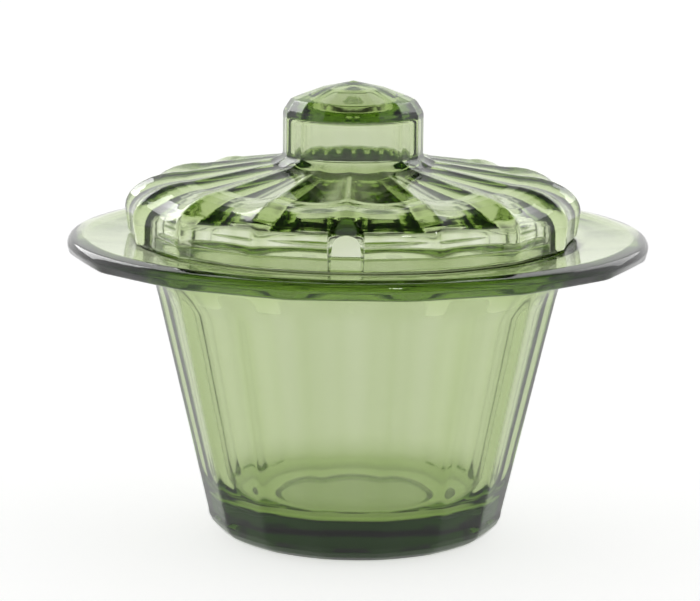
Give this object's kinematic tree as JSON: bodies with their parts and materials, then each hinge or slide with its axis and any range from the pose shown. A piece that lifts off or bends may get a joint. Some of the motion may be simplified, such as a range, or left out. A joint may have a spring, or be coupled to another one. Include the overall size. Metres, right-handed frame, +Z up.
{
  "type": "covered candy dish",
  "caption": "Covered candy dish in pressed green glass: a panelled bucket bowl with a wide flange, and a loose fluted lid with a hollow knob and a spoon notch.",
  "frame": {"origin": "middle of the foot, at the height the dish stands on", "axes": "+Z up through the knob, -Y towards the spoon notch"},
  "size_m": [0.14, 0.14, 0.1103],
  "materials": {
    "bowl_glass": "clear pressed green glass",
    "lid_glass": "clear pressed green glass"
  },
  "bodies": {
    "bowl": {"bowl": "bowl_glass"},
    "lid": {"lid": "lid_glass"}
  },
  "joints": [
    {"name": "lid_lift", "type": "slide", "parent": "bowl", "child": "lid", "axis": [0, 0, 1], "range_m": [0, 0.08]}
  ]
}
